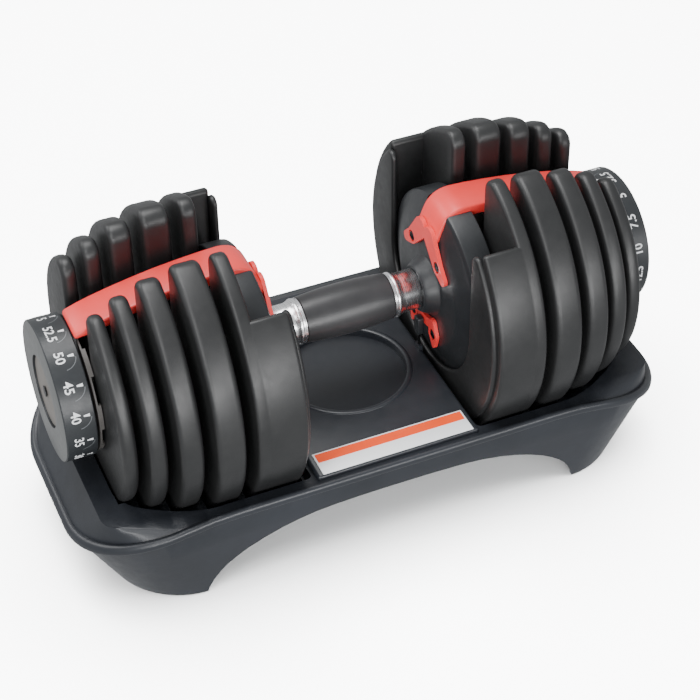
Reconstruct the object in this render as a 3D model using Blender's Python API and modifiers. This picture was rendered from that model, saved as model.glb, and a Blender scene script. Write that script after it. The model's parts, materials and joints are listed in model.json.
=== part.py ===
"""Adjustable dumbbell resting in its storage tray: ten plates, a handle and two selector dials.

Metres, +Z up. The origin is on the ground under the middle of the tray, X runs along the handle,
and -Y is the side with the label. Every turned piece shares one axis, which is the handle's.
"""

import math

import bmesh
import bpy
from mathutils import Matrix, Vector

# ---- driving dimensions ----
AXIS_Z = 0.129
GAP = 0.0003
SIDES = (("left", -1), ("right", 1))

# One row for each plate of a side, from the handle outwards: name, inner face, outer face, radius.
PLATES = (
    ("plate_10lb", 0.0865, 0.0965, 0.0985),
    ("plate_5lb_a", 0.1035, 0.1220, 0.0980),
    ("plate_5lb_b", 0.1285, 0.1432, 0.0935),
    ("plate_2p5lb", 0.1490, 0.1600, 0.0870),
    ("plate_1p25lb", 0.1650, 0.1745, 0.0790),
)
PLATE_SEGMENTS = 40
PLATE_BEVEL = 0.0028
SLOT_HALF = 0.022
SLOT_MOUTH_RADIUS = 0.008
PAD_INNER = 0.0607
PAD_LIP_DEPTH = 0.0035
PAD_POCKET_HALF = 0.066
PAD_LIP_HALF = 0.0585
PAD_LIP_RADIUS = 0.0930
PAD_MOUTH_RADIUS = 0.006
PAD_BEVEL = 0.0022
PAD_LIP_BEVEL = 0.0016

# Settings of a dial, 24 degrees apart, and which of them lift each plate.
SETTINGS = 15
LIFTING_SETTINGS = (
    (8, 9, 10, 11, 12, 13, 14),
    (4, 5, 6, 7, 10, 11, 12, 13, 14),
    (12, 13, 14),
    (2, 3, 6, 7, 9, 11, 13, 14),
    (1, 3, 5, 7, 14),
)
REST_SETTING = 14
DISC_RADIUS = 0.0435
DISC_LIP = 0.0030
DISC_THICKNESS = 0.0011
DISC_STEPS = 30
HOOK_REACH = 0.0022
HOOK_DEPTH = 0.0040
HOOK_HALF = 0.0045

AXLE_RADIUS = 0.0060
AXLE_END = 0.1962
TUBE_RADIUS = 0.0125
TUBE_END = 0.0600
GRIP_END = 0.0305
GRIP_END_RADIUS = 0.0152
GRIP_RADIUS = 0.0169
COLLAR_END = 0.0502

FLANGE_RADIUS = 0.0630
FLANGE_FACE = 0.0595
FLANGE_RIM = 0.0668
FLANGE_BACK = 0.0830
HUB_RADIUS = 0.0210
SHELL_RADIUS = 0.0590
SHELL_CORE = 0.0150

BRIDGE_HALF = 0.0135
BRIDGE_PLATE = 0.0565
BRIDGE_END = 0.1796
SCREW_CIRCLE = 0.0337
SCREW_ANGLES = (34.0, -34.0, 154.0, -154.0)
SCREW_END = 0.0665
SCREW_SHANK = 0.0013
SCREW_HEAD = 0.0032
SCREW_HOLE = 0.0019
SCREW_BORE = 0.0017
YOKE_RADIUS = 0.0262
YOKE_SPREAD = 52
EAR_RADIUS = 0.0075
BRACKET_EAR_RADIUS = 0.0072
BRACKET_EDGE = 0.0368
BOSS_LOW = -0.0385
BOSS_HIGH = -0.0250
BOSS_HALF = 0.0032
BOSS_DEPTH = 0.0026

BEARING_INNER = 0.1784
BEARING_OUTER = 0.1796
BEARING_TOP = 0.0439
DIAL_INNER = 0.1800
DIAL_OUTER = 0.2000
DIAL_RADIUS = 0.0455
DIAL_WALL = 0.0030
DIAL_WEB = 0.0050
DIAL_SEAT = 0.0036
DIAL_HUB_RADIUS = 0.0120
CAP_HOLE = 0.0024
CAP_RADIUS = 0.0229
CAP_SUNK = 0.0012

LIP_HALF_LENGTH = 0.2070
LIP_HALF_WIDTH = 0.0955
LIP_CORNER = 0.0620
LIP_Z = 0.0755
LIP_DROP = 0.0265
LIP_DROP_FROM = 0.110
DECK_HALF_LENGTH = 0.1900
DECK_HALF_WIDTH = 0.0755
DECK_CORNER = 0.012
DECK_Z = 0.0720
FOOT_HALF_LENGTH = 0.1810
FOOT_HALF_WIDTH = 0.0825
FOOT_CORNER = 0.0520
SKIRT_Z = 0.0012
WALL = 0.0030
CENTRE_HALF_LENGTH = 0.0555
CENTRE_HALF_WIDTH = 0.0885
CENTRE_Z = 0.0770
RECESS_RADIUS = 0.0410
RECESS_Z = 0.0725
WELL_RIB_RADIUS = 0.0730
WELL_CLEARANCE = 0.0006
WELL_END_GAP = 0.0012
WELL_WALL = 0.0026
END_ARCH_RADIUS = 0.060
END_ARCH_Z = -0.030
LABEL_SIZE = (0.1038, 0.0195, 0.0005)
LABEL_Y = -0.0782
LOCK_X = 0.0542
LOCK_BORE = 0.0014
PIN_FOOT = -0.0480
PIN_LENGTH = 0.0120
PIN_TOP_STOP = -0.0275
PIN_RADIUS = 0.0010
SPRING_RADIUS = 0.0008
SPRING_WIRE = 0.00018
LEG_X = 0.1500
LEG_Y = 0.0580
LEG_RADIUS = 0.0120
FOOT_HEIGHT = 0.0040


# ---- scene ----
def clear_scene():
    for obj in list(bpy.data.objects):
        bpy.data.objects.remove(obj, do_unlink=True)


def new_collection(name):
    collection = bpy.data.collections.new(name)
    bpy.context.scene.collection.children.link(collection)
    return collection


def material(name, colour, roughness, metallic=0.0):
    mat = bpy.data.materials.new(name)
    mat.use_nodes = True
    shader = mat.node_tree.nodes["Principled BSDF"]
    shader.inputs["Base Color"].default_value = (*colour, 1.0)
    shader.inputs["Roughness"].default_value = roughness
    shader.inputs["Metallic"].default_value = metallic
    mat.diffuse_color = (*colour, 1.0)
    return mat


def empty(name, location, rotation=(0, 0, 0)):
    holder = bpy.data.objects.new(name, None)
    holder.location = location
    holder.rotation_euler = rotation
    holder.empty_display_size = 0.02
    PARTS.objects.link(holder)
    return holder


# ---- making objects ----
def smooth(mesh, angle=32):
    mesh.shade_smooth()
    mesh.set_sharp_from_angle(angle=math.radians(angle))


def object_from(bm, name, mat, parent=None, collection=None):
    bmesh.ops.recalc_face_normals(bm, faces=bm.faces)
    mesh = bpy.data.meshes.new(name)
    bm.to_mesh(mesh)
    bm.free()
    smooth(mesh)
    obj = bpy.data.objects.new(name, mesh)
    if mat:
        mesh.materials.append(mat)
    (collection or PARTS).objects.link(obj)
    obj.parent = parent
    return obj


def box(low, high, bm=None):
    bm = bm or bmesh.new()
    size = [b - a for a, b in zip(low, high)]
    middle = [(a + b) / 2 for a, b in zip(low, high)]
    matrix = Matrix.Translation(middle) @ Matrix.Diagonal((*size, 1))
    bmesh.ops.create_cube(bm, size=1, matrix=matrix)
    return bm


def cylinder(radius, low, high, segments=24, radius_high=None, bm=None):
    """A cylinder along local Z from low to high."""
    bm = bm or bmesh.new()
    bmesh.ops.create_cone(
        bm,
        cap_ends=True,
        segments=segments,
        radius1=radius,
        radius2=radius if radius_high is None else radius_high,
        depth=high - low,
        matrix=Matrix.Translation((0, 0, (low + high) / 2)),
    )
    return bm


def cutter(bm, name, parent=None):
    obj = object_from(bm, name, None, parent, CUTTERS)
    hide(obj)
    return obj


def hide(obj):
    obj.display_type = "WIRE"
    obj.hide_render = True


def boolean(obj, other, operation="DIFFERENCE"):
    modifier = obj.modifiers.new(operation.lower(), "BOOLEAN")
    modifier.operation = operation
    modifier.object = other
    modifier.solver = "EXACT"


def bevel(obj, width, segments=1, angle=35):
    modifier = obj.modifiers.new("bevel", "BEVEL")
    modifier.width = width
    modifier.segments = segments
    modifier.limit_method = "ANGLE"
    modifier.angle_limit = math.radians(angle)


def turned(name, profile, mat, parent, steps=24, closed=True, collection=None):
    """A turned piece. profile lists (radius, height) with the outer side running downwards."""
    bm = bmesh.new()
    points = [bm.verts.new((radius, 0, height)) for radius, height in profile]
    pairs = list(zip(points, points[1:]))
    if closed:
        pairs.append((points[-1], points[0]))
    for first, second in pairs:
        bm.edges.new((first, second))
    mesh = bpy.data.meshes.new(name)
    bm.to_mesh(mesh)
    bm.free()
    if mat:
        mesh.materials.append(mat)
    obj = bpy.data.objects.new(name, mesh)
    (collection or PARTS).objects.link(obj)
    obj.parent = parent
    screw = obj.modifiers.new("turn", "SCREW")
    screw.axis = "Z"
    screw.steps = steps
    screw.render_steps = steps
    screw.use_merge_vertices = True
    screw.merge_threshold = 0.00001
    screw.use_smooth_shade = True
    return obj


def flat_outline(name, loops, low, high, mat, parent=None, collection=None):
    """A flat piece of one outline, and any holes, standing from low to high along local Z."""
    curve = bpy.data.curves.new(name, "CURVE")
    curve.dimensions = "2D"
    curve.fill_mode = "BOTH"
    curve.extrude = (high - low) / 2
    for loop in loops:
        spline = curve.splines.new("POLY")
        spline.points.add(len(loop) - 1)
        for point, (x, y) in zip(spline.points, loop):
            point.co = (x, y, 0, 1)
        spline.use_cyclic_u = True
    drawn = bpy.data.objects.new(name + "_outline", curve)
    PARTS.objects.link(drawn)
    graph = bpy.context.evaluated_depsgraph_get()
    mesh = bpy.data.meshes.new_from_object(drawn.evaluated_get(graph))
    bpy.data.objects.remove(drawn, do_unlink=True)
    bm = bmesh.new()
    bm.from_mesh(mesh)
    bpy.data.meshes.remove(mesh)
    bmesh.ops.remove_doubles(bm, verts=bm.verts, dist=0.000005)
    bmesh.ops.dissolve_limit(bm, angle_limit=0.01, verts=bm.verts, edges=bm.edges)
    bmesh.ops.translate(bm, verts=bm.verts, vec=(0, 0, (low + high) / 2))
    return object_from(bm, name, mat, parent, collection)


def arc(centre, radius, start, end, steps):
    """Points of an arc in degrees, both ends included."""
    points = []
    for step in range(steps + 1):
        angle = math.radians(start + (end - start) * step / steps)
        points.append((centre[0] + radius * math.cos(angle), centre[1] + radius * math.sin(angle)))
    return points


# ---- plates ----
def slotted_disc(radius, half, mouth):
    """A disc open at the top through a slot with a round bottom on the axis and a round mouth.

    The outline lies in a plane whose +X points up, so that the slot opens towards +X.
    """
    gone = half + mouth
    centre_up = math.sqrt((radius - mouth) ** 2 - gone**2)
    tangent = math.degrees(math.atan2(gone, centre_up))
    steps = round(PLATE_SEGMENTS * (360 - 2 * tangent) / 360)
    rim = arc((0, 0), radius, tangent, 360 - tangent, steps)
    lower_mouth = arc((centre_up, -gone), mouth, -tangent, 90, 3)[1:]
    bottom = arc((0, 0), half, 270, 90, 8)
    upper_mouth = arc((centre_up, gone), mouth, -90, tangent, 3)[:-1]
    return rim + lower_mouth + bottom + upper_mouth


def plate_hook(parent, outer):
    """The ledge on a plate's outer face that a selector disc lifts."""
    reach = DISC_RADIUS - DISC_LIP - 0.001
    low = (-reach, -HOOK_HALF, outer - 0.001)
    high = (-reach + HOOK_DEPTH, HOOK_HALF, outer + HOOK_REACH)
    return cutter(box(low, high), parent.name + "_hook", parent)


def make_plate(side, sign, row):
    name, inner, outer, radius = row
    frame = side_frame(f"{name}_{side}_pivot", sign)
    outline = slotted_disc(radius, SLOT_HALF, SLOT_MOUTH_RADIUS)
    plate = flat_outline(f"{name}_{side}", [outline], inner, outer, PLATE, frame)
    bevel(plate, PLATE_BEVEL)
    hook = plate_hook(plate, outer)
    hook.parent = frame
    boolean(plate, hook, "UNION")
    return plate, frame


def add_pad(plate, frame, inner, radius):
    """The thick pad of the innermost plate, with a wide pocket for the handle's flange."""
    lip_back = PAD_INNER + PAD_LIP_DEPTH
    body = slotted_disc(radius, PAD_POCKET_HALF, PAD_MOUTH_RADIUS)
    lip = slotted_disc(PAD_LIP_RADIUS, PAD_LIP_HALF, PAD_MOUTH_RADIUS)
    pad = flat_outline(plate.name + "_pad", [body], lip_back - 0.0004, inner + 0.0030, None, frame, CUTTERS)
    rim = flat_outline(plate.name + "_pad_lip", [lip], PAD_INNER, lip_back, None, frame, CUTTERS)
    bevel(pad, PAD_BEVEL, 1)
    bevel(rim, PAD_LIP_BEVEL, 1)
    for piece in (pad, rim):
        hide(piece)
        boolean(plate, piece, "UNION")


# ---- handle ----
def side_frame(name, sign):
    """An empty on the handle's axis whose +Z points outwards along the handle and +X points up."""
    rotation = Matrix(((0, 0, sign), (0, -sign, 0), (1, 0, 0)))
    return empty(name, (0, 0, AXIS_Z), rotation.to_euler())


def make_handle(frame):
    wall = 0.0025
    ends = ((TUBE_RADIUS, TUBE_END), (TUBE_RADIUS, -TUBE_END))
    bore = ((TUBE_RADIUS - wall, -TUBE_END), (TUBE_RADIUS - wall, TUBE_END))
    turned("handle_tube", ends + bore, STEEL, frame)
    grip = []
    for step in range(7):
        place = 1 - 2 * step / 6
        grip.append((GRIP_END_RADIUS + (GRIP_RADIUS - GRIP_END_RADIUS) * (1 - place**2), place * GRIP_END))
    inside = TUBE_RADIUS + GAP
    turned("grip", [*grip, (inside, -GRIP_END), (inside, GRIP_END)], RUBBER, frame)


def make_collar(side, frame):
    start = GRIP_END + GAP
    profile = (
        (0.0134, COLLAR_END),
        (0.0134, 0.0370),
        (0.0150, 0.0340),
        (0.0152, 0.0330),
        (0.0148, start),
        (TUBE_RADIUS + GAP, start),
        (TUBE_RADIUS + GAP, COLLAR_END),
    )
    turned(f"collar_{side}", profile, CHROME, frame)


def make_flange(side, frame):
    bore = TUBE_RADIUS + GAP
    profile = (
        (SHELL_RADIUS, FLANGE_BACK),
        (FLANGE_RADIUS, FLANGE_BACK),
        (FLANGE_RADIUS, FLANGE_RIM),
        (SHELL_RADIUS, FLANGE_RIM - 0.0020),
        (0.0430, FLANGE_FACE),
        (HUB_RADIUS, FLANGE_FACE),
        (SHELL_CORE, COLLAR_END + GAP),
        (bore, COLLAR_END + GAP),
        (bore, TUBE_END + GAP),
        (AXLE_RADIUS + GAP, TUBE_END + GAP),
        (AXLE_RADIUS + GAP, FLANGE_BACK),
        (SHELL_CORE, FLANGE_BACK),
        (0.0160, 0.0680),
        (SHELL_RADIUS, 0.0690),
    )
    flange = turned(f"hub_flange_{side}", profile, HOUSING, frame, 32)
    channel = ((0.0500, 0.0396), (0.0610, 0.0396), (0.0673, 0.0551), (0.0850, 0.0563), (0.0850, 0.0750))
    channel += ((0.0500, 0.0750),)
    notch = side_prism(f"flange_notch_{side}", channel, BRIDGE_HALF + GAP, None, frame, CUTTERS)
    hide(notch)
    boolean(flange, notch)
    for angle in SCREW_ANGLES:
        hole = cylinder(SCREW_BORE, FLANGE_FACE - 0.001, 0.0680, 10)
        drill = cutter(hole, f"flange_hole_{side}_{angle:.0f}", frame)
        drill.location = screw_place(angle)
        boolean(flange, drill)


def side_prism(name, points, half, mat, frame, collection=None):
    """A piece with one outline over (distance along the handle, height), standing half to each side."""
    prism = flat_outline(name, [points], -half, half, mat, frame, collection)
    prism.data.transform(Matrix(((0, 1, 0), (0, 0, 1), (1, 0, 0))).to_4x4())
    return prism


def screw_place(angle):
    turn = math.radians(angle)
    return (SCREW_CIRCLE * math.cos(turn), SCREW_CIRCLE * math.sin(turn), 0)


def make_bridge(side, frame):
    """The red bridge: a bar over the slots of the plates, an arm down the flange and two ears."""
    top = ((0.0570, 0.0400), (0.0578, 0.0440), (0.0656, 0.0640), (0.0672, 0.0655), (0.0900, 0.0650))
    top += ((0.1200, 0.0618), (0.1500, 0.0563), (0.1700, 0.0513), (BRIDGE_END, 0.0478))
    under = ((BRIDGE_END, BEARING_TOP + GAP), (0.1680, 0.0452), (0.1480, 0.0500), (0.1180, 0.0548))
    under += ((0.0900, 0.0572), (0.0720, 0.0566), (0.0668, 0.0556), (0.0605, 0.0400))
    bar = side_prism(f"bridge_{side}", top + under, BRIDGE_HALF, RED, frame)
    bevel(bar, 0.0014, 1)
    ears = bridge_ears(side, frame)
    boolean(bar, ears, "UNION")
    drill_screw_holes(bar, side, frame, SCREW_ANGLES[:2])


def bridge_ears(side, frame):
    """A flat yoke around the top of the hub, with an ear for a screw on each side."""
    front, back = BRIDGE_PLATE, FLANGE_FACE - GAP
    reach = SCREW_ANGLES[0]
    outline = arc((0, 0), YOKE_RADIUS, -YOKE_SPREAD, YOKE_SPREAD, 8)
    outline += arc(screw_place(SCREW_ANGLES[0])[:2], EAR_RADIUS, reach + 120, reach - 60, 6)
    outline += [(0.0420, 0.0118), (0.0440, 0.0118), (0.0440, -0.0118), (0.0420, -0.0118)]
    outline += arc(screw_place(SCREW_ANGLES[1])[:2], EAR_RADIUS, -reach + 60, -reach - 120, 6)
    ears = flat_outline(f"bridge_ears_{side}", [outline], front, back, None, frame, CUTTERS)
    hide(ears)
    return ears


def drill_screw_holes(obj, side, frame, angles):
    for angle in angles:
        hole = cylinder(SCREW_HOLE, BRIDGE_PLATE - 0.001, FLANGE_FACE + 0.001, 12)
        drill = cutter(hole, f"{obj.name}_hole_{angle:.0f}", frame)
        drill.location = screw_place(angle)
        boolean(obj, drill)


def make_lower_bracket(side, frame):
    front, back = BRIDGE_PLATE, FLANGE_FACE - GAP
    inner = HUB_RADIUS + 0.0012
    outline = arc((0, 0), inner, 138, 222, 8)
    outline += arc(screw_place(SCREW_ANGLES[3])[:2], BRACKET_EAR_RADIUS, 260, 140, 5)
    outline += arc((0, 0), BRACKET_EDGE, 196, 164, 4)
    outline += arc(screw_place(SCREW_ANGLES[2])[:2], BRACKET_EAR_RADIUS, 220, 100, 5)
    bracket = flat_outline(f"lower_bracket_{side}", [outline], front, back, RED, frame)
    drill_screw_holes(bracket, side, frame, SCREW_ANGLES[2:])
    low = (BOSS_LOW, -BOSS_HALF, LOCK_X - BOSS_DEPTH)
    high = (BOSS_HIGH, BOSS_HALF, back - 0.0004)
    boolean(bracket, cutter(box(low, high), f"lock_boss_{side}", frame), "UNION")
    bore = cutter(cylinder(LOCK_BORE, -0.0500, PIN_TOP_STOP, 12), f"lock_bore_{side}", frame)
    bore.rotation_euler = (0, math.radians(90), 0)
    bore.location = (0, 0, LOCK_X)
    boolean(bracket, bore)


def make_bridge_screws(side, frame):
    """Four pan-head screws, each with a shank that ends inside the flange."""
    top = BRIDGE_PLATE - GAP
    for number, angle in enumerate(SCREW_ANGLES, 1):
        profile = ((0.0, SCREW_END), (SCREW_SHANK, SCREW_END), (SCREW_SHANK, top), (SCREW_HEAD, top))
        profile += ((SCREW_HEAD - 0.0002, top - 0.0014), (0.0, top - 0.0018))
        screw = turned(f"bridge_screw_{number}_{side}", profile, SCREW_STEEL, frame, 8, closed=False)
        screw.location = screw_place(angle)


# ---- selector ----
def make_axle(side, frame):
    low, high = TUBE_END + 0.0010, AXLE_END
    profile = ((0.0, high), (AXLE_RADIUS, high), (AXLE_RADIUS, low), (0.0, low))
    axle = turned(f"selector_axle_{side}", profile, STEEL, frame, 20, closed=False)
    hole = cutter(cylinder(0.0022, high - 0.0085, high + 0.001, 12), f"axle_hole_{side}", frame)
    boolean(axle, hole)


def lip_runs(lifting):
    """Runs of neighbouring settings, as (first, count), whose sectors of a disc carry a lip."""
    runs = []
    for first in lifting:
        if (first - 1) % SETTINGS in lifting:
            continue
        count = 1
        while (first + count) % SETTINGS in lifting:
            count += 1
        runs.append((first, count))
    return runs


def make_disc(side, number, frame):
    """A selector disc: a thin round plate with a lip on the sectors that lift its weight plate."""
    name, _, outer, _ = PLATES[number]
    face = outer + HOOK_REACH + GAP
    rim = arc((0, 0), DISC_RADIUS, 0, 360, DISC_STEPS)[:-1]
    hole = arc((0, 0), AXLE_RADIUS + GAP, 0, 360, 12)[:-1]
    disc = flat_outline(
        f"selector_disc_{number + 1}_{side}", [rim, hole], face, face + DISC_THICKNESS, DISC, frame
    )
    sector = 360 / SETTINGS
    for first, count in lip_runs(LIFTING_SETTINGS[number]):
        start = 180 + (first - REST_SETTING - 0.5) * sector
        end = start + count * sector
        outline = arc((0, 0), DISC_RADIUS, start, end, 2 * count)
        outline += arc((0, 0), DISC_RADIUS - DISC_LIP, end, start, 2 * count)
        lip = flat_outline(
            f"{disc.name}_lip_{first}", [outline], outer + 0.0007, face + 0.0005, None, frame, CUTTERS
        )
        hide(lip)
        boolean(disc, lip, "UNION")


def make_bearing(side, frame):
    """The outer bearing of the axle: a thin plate under the end of the bridge."""
    outline = arc((0, 0), 0.0190, 110, 250, 10)
    outline += [(0.0180, -0.0180), (BEARING_TOP, -0.0100), (BEARING_TOP, 0.0100), (0.0180, 0.0180)]
    hole = arc((0, 0), AXLE_RADIUS + GAP, 0, 360, 16)[:-1]
    name = f"end_bearing_{side}"
    flat_outline(name, [outline, hole], BEARING_INNER, BEARING_OUTER, HOUSING, frame)


def make_lock_pin(side, sign):
    """A pin that slides up against its spring, just above the tray's post."""
    middle = (sign * LOCK_X, 0, 0)
    foot = AXIS_Z + PIN_FOOT
    top = foot + PIN_LENGTH
    profile = ((0.0, top), (PIN_RADIUS, top), (PIN_RADIUS, foot), (0.0, foot))
    pin = turned(f"lock_pin_{side}", profile, SCREW_STEEL, None, 12, closed=False)
    pin.location = middle
    steps, turns = 24, 4
    low, high = top + 0.0005, AXIS_Z + PIN_TOP_STOP - 0.0005
    curve = bpy.data.curves.new(f"lock_spring_{side}", "CURVE")
    curve.dimensions = "3D"
    curve.bevel_depth = SPRING_WIRE
    curve.bevel_resolution = 0
    curve.use_fill_caps = True
    spline = curve.splines.new("POLY")
    spline.points.add(steps)
    for step, point in enumerate(spline.points):
        turn = 2 * math.pi * turns * step / steps
        height = low + (high - low) * step / steps
        point.co = (SPRING_RADIUS * math.cos(turn), SPRING_RADIUS * math.sin(turn), height, 1)
    curve.materials.append(SCREW_STEEL)
    spring = bpy.data.objects.new(curve.name, curve)
    spring.location = middle
    PARTS.objects.link(spring)


# ---- dials ----
def make_dial(side, frame):
    rim = DIAL_RADIUS
    recess = CAP_RADIUS + 0.0006
    profile = (
        (recess, DIAL_OUTER),
        (rim - 0.0010, DIAL_OUTER),
        (rim, DIAL_OUTER - 0.0010),
        (rim, DIAL_INNER),
        (rim - DIAL_WALL, DIAL_INNER),
        (rim - DIAL_WALL, DIAL_OUTER - DIAL_WEB),
        (DIAL_HUB_RADIUS, DIAL_OUTER - DIAL_WEB),
        (DIAL_HUB_RADIUS, DIAL_INNER + 0.0006),
        (AXLE_RADIUS + GAP, DIAL_INNER + 0.0006),
        (AXLE_RADIUS + GAP, DIAL_OUTER - DIAL_SEAT),
        (recess, DIAL_OUTER - DIAL_SEAT),
    )
    turned(f"dial_{side}", profile, DIAL, frame, 30)


def make_dial_cap(side, frame):
    """The round cap in the face of a dial, and the screw that holds the dial on its axle."""
    low, high = DIAL_OUTER - 0.0033, DIAL_OUTER - CAP_SUNK
    profile = (
        (CAP_HOLE, high),
        (CAP_RADIUS - 0.0006, high),
        (CAP_RADIUS, high - 0.0006),
        (CAP_RADIUS, low),
        (CAP_HOLE, low),
    )
    turned(f"dial_cap_{side}", profile, CAP, frame, 30)
    head = high + GAP
    profile = (
        (0.0, head + 0.0006),
        (0.0036, head + 0.0006),
        (0.0036, head),
        (0.0018, head),
        (0.0018, 0.1890),
        (0.0, 0.1890),
    )
    turned(f"dial_screw_{side}", profile, SCREW_STEEL, frame, 12, closed=False)


# ---- tray ----
def lip_height(x):
    """Height of the tray's lip: level along the middle, falling away towards each end."""
    past = max(abs(x) - LIP_DROP_FROM, 0)
    return LIP_Z - LIP_DROP * (past / (LIP_HALF_LENGTH - LIP_DROP_FROM)) ** 2


def tray_ring(half_length, half_width, corner, height):
    """Points of a rounded rectangle. height is a number, or a drop below the lip as a function of x."""
    points = []
    flat_x, flat_y = half_length - corner, half_width - corner
    for quarter, (sx, sy) in enumerate(((1, 1), (-1, 1), (-1, -1), (1, -1))):
        points += arc((sx * flat_x, sy * flat_y), corner, 90 * quarter, 90 * quarter + 90, 6)
        if quarter % 2 == 0:
            points += [(sx * flat_x * (1 - step / 5), sy * half_width) for step in range(1, 10)]
    return [Vector((x, y, height(x) if callable(height) else height)) for x, y in points]


def loft(rings):
    bm = bmesh.new()
    rows = [[bm.verts.new(point) for point in ring] for ring in rings]
    count = len(rows[0])
    for lower, upper in zip(rows, rows[1:]):
        for place in range(count):
            after = (place + 1) % count
            bm.faces.new((lower[place], lower[after], upper[after], upper[place]))
    bm.faces.new(list(reversed(rows[0])))
    bm.faces.new(rows[-1])
    bmesh.ops.triangulate(bm, faces=bm.faces)
    return bm


def tray_outside():
    length, width, corner = LIP_HALF_LENGTH, LIP_HALF_WIDTH, LIP_CORNER
    return loft(
        (
            tray_ring(FOOT_HALF_LENGTH, FOOT_HALF_WIDTH, FOOT_CORNER, SKIRT_Z),
            tray_ring(length - 0.0024, width - 0.0020, corner, lambda x: lip_height(x) - 0.0062),
            tray_ring(length, width, corner, lambda x: lip_height(x) - 0.0050),
            tray_ring(length, width, corner, lambda x: lip_height(x) - 0.0014),
            tray_ring(length - 0.0014, width - 0.0014, corner - 0.0014, lip_height),
            tray_ring(DECK_HALF_LENGTH, DECK_HALF_WIDTH, DECK_CORNER, DECK_Z),
        )
    )


def tray_inside():
    length, width, corner = LIP_HALF_LENGTH - 0.0060, LIP_HALF_WIDTH - 0.0050, LIP_CORNER - 0.0050
    below = SKIRT_Z - 0.0020
    foot_length, foot_width = FOOT_HALF_LENGTH - WALL, FOOT_HALF_WIDTH - WALL
    return loft(
        (
            tray_ring(foot_length, foot_width, FOOT_CORNER - WALL, below),
            tray_ring(length, width, corner, lambda x: lip_height(x) - 0.0068),
            tray_ring(DECK_HALF_LENGTH - 0.0030, DECK_HALF_WIDTH - 0.0020, DECK_CORNER, DECK_Z - WALL),
        )
    )


def arch_cutter():
    """The arch in the front and back of the skirt, drawn over X and Z and run along Y."""
    half = ((0.0, 0.0525), (0.030, 0.0522), (0.052, 0.0508), (0.075, 0.0455), (0.096, 0.0375))
    half += ((0.109, 0.0310), (0.118, 0.0240), (0.1255, 0.0140), (0.1325, -0.0050))
    outline = [(-x, z) for x, z in reversed(half[1:])] + list(half)
    arch = flat_outline("skirt_arch", [outline], -0.12, 0.12, None, None, CUTTERS)
    hide(arch)
    arch.rotation_euler = (math.radians(90), 0, 0)
    return arch


def end_arch_cutter():
    outline = arc((0, END_ARCH_Z), END_ARCH_RADIUS, 25, 155, 10)
    arch = flat_outline("end_arch", [outline], -0.25, 0.25, None, None, CUTTERS)
    hide(arch)
    arch.rotation_euler = (math.radians(90), 0, math.radians(90))
    return arch


def well_outline(grow):
    """Half outline of a well's mouth seen from above, as (x, half width)."""
    points = ((PAD_INNER - 0.0032, 0.0835), (0.1240, 0.0835), (0.1500, 0.0730), (0.1680, 0.0610))
    points += ((0.1762, 0.0480),)
    first, last = points[0], points[-1]
    rows = [(first[0] - grow, first[1] + grow)]
    rows += [(x, y + grow) for x, y in points[1:-1]]
    rows += [(last[0] + grow, last[1] + grow)]
    return rows + [(x, -y) for x, y in reversed(rows)]


def well_steps(grow):
    """Radius of the well along the handle: one step for each plate and a rib between plates."""
    rows = []
    low = PAD_INNER - WELL_END_GAP
    for number, (_, inner, outer, radius) in enumerate(PLATES):
        start = low if number == 0 else inner - WELL_END_GAP
        rows.append((start - grow, outer + WELL_END_GAP + grow, radius + WELL_CLEARANCE + grow))
    return rows


def well_tub(name, sign, grow, bottom_only):
    """The stepped solid of a well. With bottom_only it stops under the deck."""
    frame = side_frame(name + "_frame", sign)
    profile = []
    rows = well_steps(grow)
    for number, (start, end, radius) in enumerate(rows):
        if grow and number:
            start = rows[number - 1][1]
        if not grow and number:
            profile += [(WELL_RIB_RADIUS, rows[number - 1][1]), (WELL_RIB_RADIUS, start)]
        profile += [(radius, start), (radius, end)]
    profile = [(0.0, rows[0][0])] + profile + [(0.0, rows[-1][1])]
    tub = turned(name, list(reversed(profile)), None, frame, 32, closed=False, collection=CUTTERS)
    hide(tub)
    if bottom_only:
        top = box((-0.12, -0.12, 0.0), (DECK_Z - 0.0010 - AXIS_Z, 0.12, 0.25))
        boolean(tub, cutter(top, name + "_limit", frame), "INTERSECT")
    return tub


def well_mouth(name, sign, grow, low, high):
    loop = [(sign * x, y) for x, y in well_outline(grow)]
    mouth = flat_outline(name, [loop], low, high, None, None, CUTTERS)
    hide(mouth)
    return mouth


def make_tray():
    tray = object_from(tray_outside(), "tray", TRAY)
    boolean(tray, cutter(tray_inside(), "tray_hollow"))
    boolean(tray, arch_cutter())
    boolean(tray, end_arch_cutter())
    centre = box(
        (-CENTRE_HALF_LENGTH, -CENTRE_HALF_WIDTH, DECK_Z - 0.0045),
        (CENTRE_HALF_LENGTH, CENTRE_HALF_WIDTH, CENTRE_Z),
    )
    centre = cutter(centre, "centre_block")
    bevel(centre, 0.0012, 1)
    boolean(tray, centre, "UNION")
    for sign in (-1, 1):
        boolean(tray, well_mouth(f"well_wall_{sign}", sign, WELL_WALL, 0.0560, DECK_Z - 0.0010), "UNION")
        boolean(tray, well_tub(f"well_tub_{sign}", sign, WELL_WALL, True), "UNION")
    for x in (-1, 1):
        for y in (-1, 1):
            boolean(tray, tray_leg(x, y), "UNION")
    for sign in (-1, 1):
        boolean(tray, well_mouth(f"well_mouth_{sign}", sign, 0.0, 0.0600, 0.1000))
        boolean(tray, well_tub(f"well_room_{sign}", sign, 0.0, False))
    recess = cutter(cylinder(RECESS_RADIUS, RECESS_Z, 0.1, 48), "centre_recess")
    boolean(tray, recess)
    for sign in (-1, 1):
        top = AXIS_Z + PIN_FOOT - GAP
        post = cutter(box((-0.0013, -0.0030, CENTRE_Z - 0.0005), (0.0013, 0.0030, top)), f"post_{sign}")
        post.location = (sign * LOCK_X, 0, 0)
        boolean(tray, post, "UNION")
    return tray


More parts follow.
